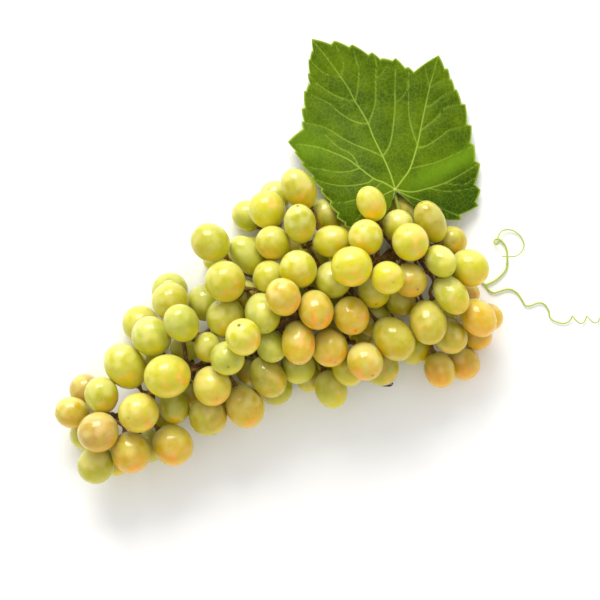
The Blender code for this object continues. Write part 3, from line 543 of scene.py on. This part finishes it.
# Young green skin: satin smooth, and mottled paler over 2 or 3 mm.
green_skin = bpy.data.materials.new("smooth_green_stalk")
green_skin.use_nodes = True
tree = green_skin.node_tree
shader = tree.nodes["Principled BSDF"]
place = add_node(tree, "ShaderNodeTexCoord", {})
mottles = add_node(tree, "ShaderNodeTexNoise", {"Scale": 1 / (2.5 * mm), "Detail": 3.0},
                   {"Vector": place.outputs["Object"]})
mottled = add_node(tree, "ShaderNodeMix",
                   {"data_type": "RGBA", 6: linear("#7E9420"), 7: linear("#B3B545")},
                   {0: mottles.outputs[0]})
tree.links.new(mottled.outputs[2], shader.inputs["Base Color"])
shader.inputs["Roughness"].default_value = 0.4
shader.inputs["Subsurface Weight"].default_value = 0.2
shader.inputs["Subsurface Radius"].default_value = (1.0, 0.8, 0.2)
shader.inputs["Subsurface Scale"].default_value = 1.2 * mm

points, triangles = solid_of("leaf_stalk")
middles, _, meets = rings_of(points, triangles, side=1.7)
top_ring = int(np.argmax(middles[:, 1]))
before, far = ways_from(middles, meets, top_ring)
order = way_to(before, max(far, key=far.get))
# The last bit bends up into the blade, where its veins meet.
into_blade = middles[order[0]] + np.array([1.3, 1.6, 1.9])
stalk_root = main_line[foot_on_stem(middles[order[-1]])][:3]
line = smooth_line([into_blade, *middles[order], stalk_root], 0.6)[:, :3]
along = np.concatenate([[0], np.cumsum(np.linalg.norm(np.diff(line, axis=0), axis=1))])
size = 0.98 + 0.35 * np.exp(-(along / 2.5) ** 2) + 0.9 * np.exp(-((along[-1] - along) / 4.0) ** 2)
work = bmesh.new()
for ring in add_tube(work, line, size, 16):
    middle = Vector(np.mean([corner.co for corner in ring], axis=0))
    for corner in ring:
        upward = max(0.0, (corner.co - middle).normalized().z)
        corner.co = middle + (corner.co - middle) * (1 - 0.16 * upward ** 6)
leaf_stalk = piece_of("leaf_petiole", work, green_skin)
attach(leaf_stalk, "root")
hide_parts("leaf_stalk")

# --------------------------------------------------------------------------------------------------
# The vine leaf. A thin fresh blade, satin green above and pale and matt below, that drapes over the
# shoulder of the bunch and lies down on the table. Its veins spread from the stalk, sunk in the upper face,
# and the blade puffs up a little between them.

leaf_joint = np.array((78.3, 10.7))
# Each vein as its width where it starts, and its line in plan, from its root to its tip.
veins = [
    (1.15, [(78.3, 10.7), (80, 19.4), (81, 30.1), (81.5, 41.4), (82.6, 50), (82.7, 59), (82.2, 65.1),
            (82.3, 73.4), (81.6, 80.7), (79.5, 95.1), (77, 107)]),
    (1.35, [(78.3, 10.7), (84.5, 13.7), (91.5, 17.5), (101.5, 27.3), (110.2, 37.7), (116, 44.6),
            (123.3, 53.3), (130.1, 60.6), (135.5, 66)]),
    (1.15, [(78.3, 10.7), (74.5, 16.8), (70.6, 21.3), (66.5, 30.1), (63.4, 37.1), (58.6, 43.8),
            (51.8, 51.5), (42.4, 58.9)]),
    (1.2, [(78.3, 10.7), (86, 5.4), (95.5, 3), (104.7, 1.5), (112.9, 1.4), (121.5, 1.9), (128, 2.4)]),
    (0.9, [(78.3, 10.7), (71.4, 10.9), (62.7, 10.1), (54.4, 6.9), (46, 3)]),
    (0.9, [(78.3, 10.7), (83.5, 3.8), (92.7, -5.6), (100.8, -14.6), (104, -18.6)]),
    (0.85, [(81, 30.1), (87.8, 34.4), (95.2, 43.8), (101.6, 53.8), (107.3, 64.9), (113.8, 75)]),
    (0.5, [(101.8, 54.1), (106.9, 55.2), (111.9, 58.4), (114.6, 62.8)]),
    (0.7, [(81, 30.1), (76.3, 36.2), (70.1, 43.6), (66, 49.9), (60, 60), (51, 68)]),
    (0.7, [(82.6, 50), (87.5, 54.5), (92.5, 60.2), (98.8, 71.8), (103, 79), (104, 84)]),
    (0.45, [(98.8, 71.8), (103.4, 72.4), (108, 75)]),
    (0.65, [(82.6, 50), (76.3, 55.3), (71.8, 62.7), (68.6, 70.9), (62, 80)]),
    (0.65, [(82.2, 65.1), (86.7, 70.7), (91.5, 78.2), (93.6, 85.4), (95, 93)]),
    (0.65, [(82.2, 65.1), (74.9, 71.8), (69.1, 81.5), (66, 90)]),
    (0.5, [(81.6, 80.7), (86.7, 88.1), (87.5, 99.5)]),
    (0.5, [(81.6, 80.7), (74.5, 87), (70.6, 97)]),
    (0.6, [(91.3, 17.2), (105.4, 14), (115.8, 13.2), (130, 12.5)]),
    (0.7, [(100.8, 25.9), (105.9, 24.5), (117.3, 25.7), (121.1, 26.6), (133, 24)]),
    (0.65, [(107.4, 33.7), (117.5, 35.6), (126.4, 38.4), (135.5, 36)]),
    (0.55, [(115.6, 44.4), (120.1, 43.8), (127.5, 45.3), (135.5, 45)]),
    (0.45, [(123.2, 52.9), (129.9, 53.1), (135.8, 52)]),
    (0.45, [(123.2, 52.9), (125.1, 60.6), (126.5, 65)]),
    (0.6, [(101.5, 27.3), (103, 36.5), (105.7, 45), (112, 57), (117, 66)]),
    (0.7, [(70.6, 21.3), (65.1, 21.1), (54.7, 25.1), (47.5, 30.4), (41, 37)]),
    (0.6, [(66.5, 30.1), (66.1, 39), (61.6, 46.4), (58.5, 56.3)]),
    (0.55, [(66.5, 30.1), (60.4, 31.2), (53.9, 34.6), (42, 44)]),
    (0.5, [(74, 17.6), (64, 15.5), (52, 16.5), (42.5, 21)]),
    (0.5, [(95.5, 3), (104, -3), (114, -7), (121, -9)]),
    (0.5, [(104.7, 1.5), (114, -4), (122, -4)]),
]

points, triangles = solid_of("leaf_blade")
corners = points[triangles]
normals = np.cross(corners[:, 1] - corners[:, 0], corners[:, 2] - corners[:, 0])
normals /= np.linalg.norm(normals, axis=1)[:, None]
# The upper face is what can be reached from its highest triangle without going over the blade's sharp rim.
owner, joined = {}, []
for number, (a, b, c) in enumerate(triangles):
    for edge in ((a, b), (b, c), (c, a)):
        other = owner.pop(edge[::-1], None)
        if other is None:
            owner[edge] = number
        elif normals[other] @ normals[number] > 0.3:
            joined.append((other, number))
label = groups_of(len(triangles), np.array(joined))
highest = np.argmax(np.where(normals[:, 2] > 0.5, corners[:, :, 2].max(axis=1), -1.0))
upper = triangles[label == label[highest]]
# Its edge, in order round the blade from the notch where the stalk joins it.
known = {(int(a), int(b)) for a, b in edges_of(upper)}
after = {a: b for a, b in known if (b, a) not in known}
start = min(after, key=lambda n: np.linalg.norm(points[n][:2] - leaf_joint))
rim = [start]
while after[rim[-1]] != start:
    rim.append(after[rim[-1]])
rim_spots = points[rim][:, :2]
joint_spot = rim_spots[0]
# The margin's points are under 1 mm apart. The sides of its teeth bulge a little, save where a side runs
# straight away from the stalk.
margin = [rim_spots[1]]
for here, there in zip(rim_spots[1:], rim_spots[2:]):
    side = there - here
    spoke = (here + there) / 2 - joint_spot
    across = spoke[0] * side[1] - spoke[1] * side[0]
    across /= np.linalg.norm(spoke) * np.linalg.norm(side)
    bulge = (0.03 if across > 0.3 else 0.0) * np.array((side[1], -side[0]))
    steps = max(1, round(np.linalg.norm(side) / 0.95))
    for share in np.arange(1, steps + 1) / steps:
        margin.append(here + side * share + bulge * math.sin(math.pi * share))
margin = np.array(margin)
# In plan the blade is a fan of points, each some share of the way from the joint out to the margin.
shares = np.linspace(0.012, 1, 104)
plan = joint_spot + shares[:, None, None] * (margin - joint_spot)[None]
# The blade's height over a grid of plain squares, with the part's flat facets smoothed away. Outside its
# rim the height goes on from the square before.
blade_top = BVHTree.FromPolygons([Vector(p) for p in points], [tuple(int(i) for i in t) for t in upper])
high_above = 200
square = 2.0
west, south = points[:, :2].min(axis=0) - 4
east, north = points[:, :2].max(axis=0) + 6
levels = np.zeros((int((north - south) / square), int((east - west) / square)))
for row in range(levels.shape[0]):
    for column in range(levels.shape[1]):
        spot = Vector((west + column * square, south + row * square, high_above))
        hit = blade_top.ray_cast(spot, Vector((0, 0, -1)))[0]
        if hit is None:
            spot.z = levels[row, column - 1] if column else 5.0
            hit = blade_top.find_nearest(spot)[0]
        levels[row, column] = hit.z
smoothings = 14
for _ in range(smoothings):
    around = np.pad(levels, 1, mode="edge")
    sides = around[2:, 1:-1] + around[:-2, 1:-1] + around[1:-1, 2:] + around[1:-1, :-2]
    levels = 0.4 * levels + 0.15 * sides
across_grid, up_grid = (plan[..., 0] - west) / square, (plan[..., 1] - south) / square
column, row = across_grid.astype(int), up_grid.astype(int)
part_x, part_y = across_grid - column, up_grid - row
heights = ((levels[row, column] * (1 - part_x) + levels[row, column + 1] * part_x) * (1 - part_y)
           + (levels[row + 1, column] * (1 - part_x) + levels[row + 1, column + 1] * part_x) * part_y)

# How far each point of the blade is from the nearest vein, and how deep it lies in one, from 0 to 1. A vein
# tapers to about a third of its width, and a thin one is fainter.
flat_plan = plan.reshape(-1, 2)
nearest, ridge = np.full(len(flat_plan), 99.0), np.zeros(len(flat_plan))
for width, line in veins:
    fine = smooth_line([(*p, 0) for p in line], 1.0)[:, :2]
    for k in range(len(fine) - 1):
        a, b = fine[k], fine[k + 1]
        share = np.clip((flat_plan - a) @ (b - a) / np.dot(b - a, b - a), 0, 1)
        gap = np.linalg.norm(flat_plan - a - share[:, None] * (b - a), axis=1)
        here = width * (1 - 0.65 * k / len(fine))
        strength = min(1.0, 0.22 + 0.65 * here)
        ridge = np.maximum(ridge, np.exp(-(gap / (0.19 * here + 0.17)) ** 2) * strength)
        nearest = np.minimum(nearest, gap)
grid = (len(shares), len(margin))
nearest, ridge = nearest.reshape(grid), ridge.reshape(grid)
out = np.linalg.norm(plan - joint_spot, axis=2)
to_rim = np.linalg.norm(margin - joint_spot, axis=1)[None] * (1 - shares[:, None])
# The puffs and wrinkles fade towards the rim and towards the joint.
quiet = np.clip(to_rim / 5, 0.15, 1) * np.clip((out - 8) / 30, 0.05, 1)
puff = 0.6 * (1 - np.exp(-(nearest / 3.0) ** 2)) * quiet
wrinkle = np.array([[noise.noise(Vector((x / 5.5, y / 5.5, 0.3))) for x, y in arc] for arc in plan])
raised = heights + puff - 0.2 * ridge + 0.3 * wrinkle * quiet

work = bmesh.new()
rows = [[work.verts.new((*spot, z)) for spot, z in zip(*arc)] for arc in zip(plan, raised)]
tip = work.verts.new((*joint_spot, float(raised[0].mean())))
for k in range(grid[1] - 1):
    work.faces.new((tip, rows[0][k], rows[0][k + 1]))
    for low_row, high_row in zip(rows, rows[1:]):
        work.faces.new((low_row[k], high_row[k], high_row[k + 1], low_row[k + 1]))
bmesh.ops.recalc_face_normals(work, faces=work.faces)
if sum(face.normal.z for face in work.faces) < 0:
    bmesh.ops.reverse_faces(work, faces=work.faces)
leaf_mesh = bpy.data.meshes.new("vine_leaf")
work.verts.index_update()
work.to_mesh(leaf_mesh)
work.free()
leaf_mesh.transform(Matrix.Scale(mm, 4))
leaf_mesh.attributes.new("vein", "FLOAT", "POINT").data.foreach_set(
    "value", np.append(ridge.ravel(), 1.0).astype(np.float32))
# A painted highlight: a thin lighter line along the blade's rim, within about 0.8 mm of it.
edge_light = np.exp(-(to_rim / 0.8) ** 2)
leaf_mesh.attributes.new("rim", "FLOAT", "POINT").data.foreach_set(
    "value", np.append(edge_light.ravel(), 0.0).astype(np.float32))
# The blade is painted lighter at its left shoulder, with a painted highlight along the fold right of the
# stalk and painted shade in the lowest lobes.
fold_line = np.abs((plan[..., 1] - 8) - 0.02 * (plan[..., 0] - 80))
light = 0.5 * np.exp(-((plan[..., 0] - 47) / 12) ** 2 - ((plan[..., 1] - 56) / 14) ** 2)
light = light + 0.9 * np.exp(-(fold_line / 6) ** 2) * np.clip((plan[..., 0] - 80) / 15, 0, 1)
light = light - 0.8 * np.clip((4 - plan[..., 1]) / 12, 0, 1)
leaf_mesh.attributes.new("light", "FLOAT", "POINT").data.foreach_set(
    "value", np.append(light.ravel(), 0.0).astype(np.float32))

# Upper face: a satin cuticle over soft green, with a net of veinlets about 2.6 mm apart.
leaf_green = bpy.data.materials.new("fresh_leaf_upper_face")
leaf_green.use_nodes = True
tree = leaf_green.node_tree
shader = tree.nodes["Principled BSDF"]
place = add_node(tree, "ShaderNodeTexCoord", {})
vein = add_node(tree, "ShaderNodeAttribute", {"attribute_name": "vein"})
rim_light = add_node(tree, "ShaderNodeAttribute", {"attribute_name": "rim"})
painted_light_value = add_node(tree, "ShaderNodeAttribute", {"attribute_name": "light"})
patchy = add_node(tree, "ShaderNodeTexNoise", {"Scale": 1 / (16 * mm), "Detail": 6.0, "Roughness": 0.62},
                  {"Vector": place.outputs["Object"]})
patches = add_node(tree, "ShaderNodeMapRange", {"From Min": 0.36, "From Max": 0.64},
                   {"Value": patchy.outputs[0]})
greens = add_node(tree, "ShaderNodeMix",
                  {"data_type": "RGBA", 6: linear("#384E00"), 7: linear("#526800")},
                  {0: patches.outputs[0]})
# Painted light: the "light" value lightens the blade as a painted highlight and darkens it as painted
# shade.
lighter = add_node(tree, "ShaderNodeMapRange",
                   {"From Min": 0.0, "From Max": 1.0, "To Min": 0.0, "To Max": 0.8},
                   {"Value": painted_light_value.outputs["Fac"]})
lightened = add_node(tree, "ShaderNodeMix", {"data_type": "RGBA", 7: linear("#668A10")},
                     {0: lighter.outputs[0], 6: greens.outputs[2]})
darker = add_node(tree, "ShaderNodeMapRange",
                  {"From Min": 0.0, "From Max": -0.8, "To Min": 0.0, "To Max": 0.75},
                  {"Value": painted_light_value.outputs["Fac"]})
darkened = add_node(tree, "ShaderNodeMix", {"data_type": "RGBA", 7: linear("#284202")},
                    {0: darker.outputs[0], 6: lightened.outputs[2]})
net = add_node(tree, "ShaderNodeTexVoronoi", {"feature": "DISTANCE_TO_EDGE", "Scale": 1 / (2.6 * mm)},
               {"Vector": place.outputs["Object"]})
veinlets = add_node(tree, "ShaderNodeMapRange",
                    {"From Min": 0.0, "From Max": 0.09, "To Min": 0.3, "To Max": 0.0},
                    {"Value": net.outputs["Distance"]})
netted = add_node(tree, "ShaderNodeMix", {"data_type": "RGBA", 7: linear("#74900C")},
                  {0: veinlets.outputs[0], 6: darkened.outputs[2]})
veined = add_node(tree, "ShaderNodeMix", {"data_type": "RGBA", 7: linear("#93AC3A")},
                  {0: vein.outputs["Fac"], 6: netted.outputs[2]})
# The painted highlight along the rim.
rimmed = add_node(tree, "ShaderNodeMix", {"data_type": "RGBA", 7: linear("#9CB43A")},
                  {0: rim_light.outputs["Fac"], 6: veined.outputs[2]})
quilted = add_node(tree, "ShaderNodeBump", {"invert": True, "Strength": 0.35, "Distance": 0.3 * mm},
                   {"Height": veinlets.outputs[0]})
tree.links.new(rimmed.outputs[2], shader.inputs["Base Color"])
tree.links.new(quilted.outputs[0], shader.inputs["Normal"])
shader.inputs["Roughness"].default_value = 0.58
shader.inputs["Specular IOR Level"].default_value = 0.08

# Underside: pale grey green and matt, with the same net of veinlets standing out lighter.
leaf_pale = bpy.data.materials.new("downy_leaf_underside")
leaf_pale.use_nodes = True
tree = leaf_pale.node_tree
shader = tree.nodes["Principled BSDF"]
place = add_node(tree, "ShaderNodeTexCoord", {})
vein = add_node(tree, "ShaderNodeAttribute", {"attribute_name": "vein"})
net = add_node(tree, "ShaderNodeTexVoronoi", {"feature": "DISTANCE_TO_EDGE", "Scale": 1 / (2.6 * mm)},
               {"Vector": place.outputs["Object"]})
veinlets = add_node(tree, "ShaderNodeMapRange",
                    {"From Min": 0.0, "From Max": 0.12, "To Min": 0.5, "To Max": 0.0},
                    {"Value": net.outputs["Distance"]})
netted = add_node(tree, "ShaderNodeMix",
                  {"data_type": "RGBA", 6: linear("#8FA860"), 7: linear("#B9C68A")},
                  {0: veinlets.outputs[0]})
veined = add_node(tree, "ShaderNodeMix", {"data_type": "RGBA", 7: linear("#C3CC8C")},
                  {0: vein.outputs["Fac"], 6: netted.outputs[2]})
tree.links.new(veined.outputs[2], shader.inputs["Base Color"])
shader.inputs["Roughness"].default_value = 0.75

leaf_mesh.materials.append(leaf_green)
leaf_mesh.materials.append(leaf_pale)
leaf_mesh.shade_smooth()
leaf = bpy.data.objects.new("vine_leaf", leaf_mesh)
bpy.context.scene.collection.objects.link(leaf)
blade = leaf.modifiers.new("blade", "SOLIDIFY")
blade.thickness = 0.35 * mm
blade.offset = -1
blade.material_offset = 1
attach(leaf, "root")
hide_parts("leaf_blade")

# --------------------------------------------------------------------------------------------------
# The tendril. A wiry yellow-green shoot, smooth and springy, that comes out from under the berries and
# forks into a hooked arm that curls round itself and a long arm that waves away over the table.

# Its skin has a satin shine, and turns from green to yellow and back over about 9 mm.
tendril_skin = bpy.data.materials.new("wiry_green_tendril")
tendril_skin.use_nodes = True
tree = tendril_skin.node_tree
shader = tree.nodes["Principled BSDF"]
place = add_node(tree, "ShaderNodeTexCoord", {})
turned = add_node(tree, "ShaderNodeTexNoise", {"Scale": 1 / (9 * mm), "Detail": 3.0},
                  {"Vector": place.outputs["Object"]})
green_to_yellow = add_node(tree, "ShaderNodeMix",
                           {"data_type": "RGBA", 6: linear("#86A212"), 7: linear("#C6D24E")},
                           {0: turned.outputs[0]})
tree.links.new(green_to_yellow.outputs[2], shader.inputs["Base Color"])
shader.inputs["Roughness"].default_value = 0.38

points, triangles = solid_of("tendril")
middles, _, meets = rings_of(points, triangles, side=1.3)
root = int(np.argmin(middles[:, 0]))
before, far = ways_from(middles, meets, root)
ends = set(far) - set(before.values())
long_tip = max(ends, key=lambda ring: middles[ring][0])
hook_side = -65        # the hooked arm ends on the leaf's side of this line
hook_tip = max((ring for ring in ends if middles[ring][1] > hook_side), key=far.get)
long_way, hook_way = way_to(before, long_tip), way_to(before, hook_tip)
split = len([ring for ring in hook_way if ring in set(long_way)]) - 1
work = bmesh.new()
for way, thick, thin in ((long_way, 0.62, 0.34), (hook_way[split:], 0.55, 0.3)):
    line = smooth_line(middles[way], 0.5)[:, :3]
    add_tube(work, line, np.linspace(thick, thin, len(line)), 12)
tendril = piece_of("curling_tendril", work, tendril_skin)
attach(tendril, "root")
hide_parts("tendril")

# --------------------------------------------------------------------------------------------------
# A dry stub. The stalk of a berry that fell off early, shrivelled to a thin dark hook under the lowest
# berries. It is still on its branch, so it is grown, not fixed.

# Dead bark: matt, and purple brown in patches under 1 mm across.
dry_wood = bpy.data.materials.new("shrivelled_dry_stalk")
dry_wood.use_nodes = True
tree = dry_wood.node_tree
shader = tree.nodes["Principled BSDF"]
place = add_node(tree, "ShaderNodeTexCoord", {})
grain = add_node(tree, "ShaderNodeTexNoise", {"Scale": 1 / (0.8 * mm), "Detail": 3.0},
                 {"Vector": place.outputs["Object"]})
browns = add_node(tree, "ShaderNodeMix",
                  {"data_type": "RGBA", 6: linear("#3A1420"), 7: linear("#6A3A38")},
                  {0: grain.outputs[0]})
tree.links.new(browns.outputs[2], shader.inputs["Base Color"])
shader.inputs["Roughness"].default_value = 0.7

stub_route = [(23, -73, 9), (21.5, -78, 4), (22, -82, 1.4), (24, -84.2, 0.8), (27, -85.4, 0.9),
              (28, -84.6, 2.2)]
line = smooth_line(stub_route, 0.5)[:, :3]
# It is thicker every 3.5 mm, where it hasn't shrunk as much.
size = 0.42 + 0.12 * np.cos(np.arange(len(line)) * 0.9)
work = bmesh.new()
add_tube(work, line, size, 10)
stub = piece_of("dry_stub", work, dry_wood)
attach(stub, "root")

# --------------------------------------------------------------------------------------------------
# The table, the light and the camera. A matt white table top, a soft window light from the leaf's side,
# white walls all round, and a long lens that looks straight down.

# Painted board: plain and matt, its white uneven by a hair over 40 mm.
white_top = bpy.data.materials.new("matt_white_table_top")
white_top.use_nodes = True
tree = white_top.node_tree
shader = tree.nodes["Principled BSDF"]
place = add_node(tree, "ShaderNodeTexCoord", {})
faint = add_node(tree, "ShaderNodeTexNoise", {"Scale": 1 / (40 * mm), "Detail": 2.0},
                 {"Vector": place.outputs["Object"]})
off_white = add_node(tree, "ShaderNodeMix",
                     {"data_type": "RGBA", 6: linear("#F6F6F4"), 7: linear("#FAFAF9")},
                     {0: faint.outputs[0]})
tree.links.new(off_white.outputs[2], shader.inputs["Base Color"])
shader.inputs["Roughness"].default_value = 0.7
shader.inputs["Specular IOR Level"].default_value = 0.2

table_half = 3.0
corners = [(-table_half, -table_half, 0), (table_half, -table_half, 0), (table_half, table_half, 0),
           (-table_half, table_half, 0)]
table_mesh = bpy.data.meshes.new("table_top")
table_mesh.from_pydata(corners, [], [(0, 1, 2, 3)])
table_mesh.materials.append(white_top)
table = bpy.data.objects.new("table_top", table_mesh)
bpy.context.scene.collection.objects.link(table)

# The lens is turned about its own axis, so that the bunch lies at a slant.
lens_turn = math.radians(-27.5)
picture_up = Vector((-math.sin(lens_turn), math.cos(lens_turn), 0))
picture_right = Vector((math.cos(lens_turn), math.sin(lens_turn), 0))
bunch_middle = Vector((0, 0, 0.03))
lamp = bpy.data.lights.new("window", "AREA")
lamp.shape = "RECTANGLE"
lamp.size, lamp.size_y = 1.5, 1.05
lamp.energy = 50.0
window = bpy.data.objects.new("window", lamp)
window.location = picture_up * 1.75 - picture_right * 0.35 + Vector((0, 0, 1.25))
window.rotation_euler = (bunch_middle - window.location).to_track_quat("-Z", "Y").to_euler()
bpy.context.scene.collection.objects.link(window)

world = bpy.data.worlds.new("white_walls")
bpy.context.scene.world = world
world.use_nodes = True
world.node_tree.nodes["Background"].inputs["Color"].default_value = linear("#FFFFFF")
world.node_tree.nodes["Background"].inputs["Strength"].default_value = 0.86
bpy.context.scene.view_settings.view_transform = "Standard"

picture_width, lens_length, sensor = 330 * mm, 150.0, 36.0
camera = bpy.data.objects.new("camera", bpy.data.cameras.new("camera"))
camera.data.lens = lens_length
camera.data.sensor_width = sensor
camera.data.clip_end = 20
aim = Vector((3.6 * mm, -19.2 * mm, 30 * mm))
camera.location = aim + Vector((0, 0, picture_width * lens_length / sensor))
camera.rotation_euler = (0, 0, lens_turn)
bpy.context.scene.collection.objects.link(camera)
bpy.context.scene.camera = camera
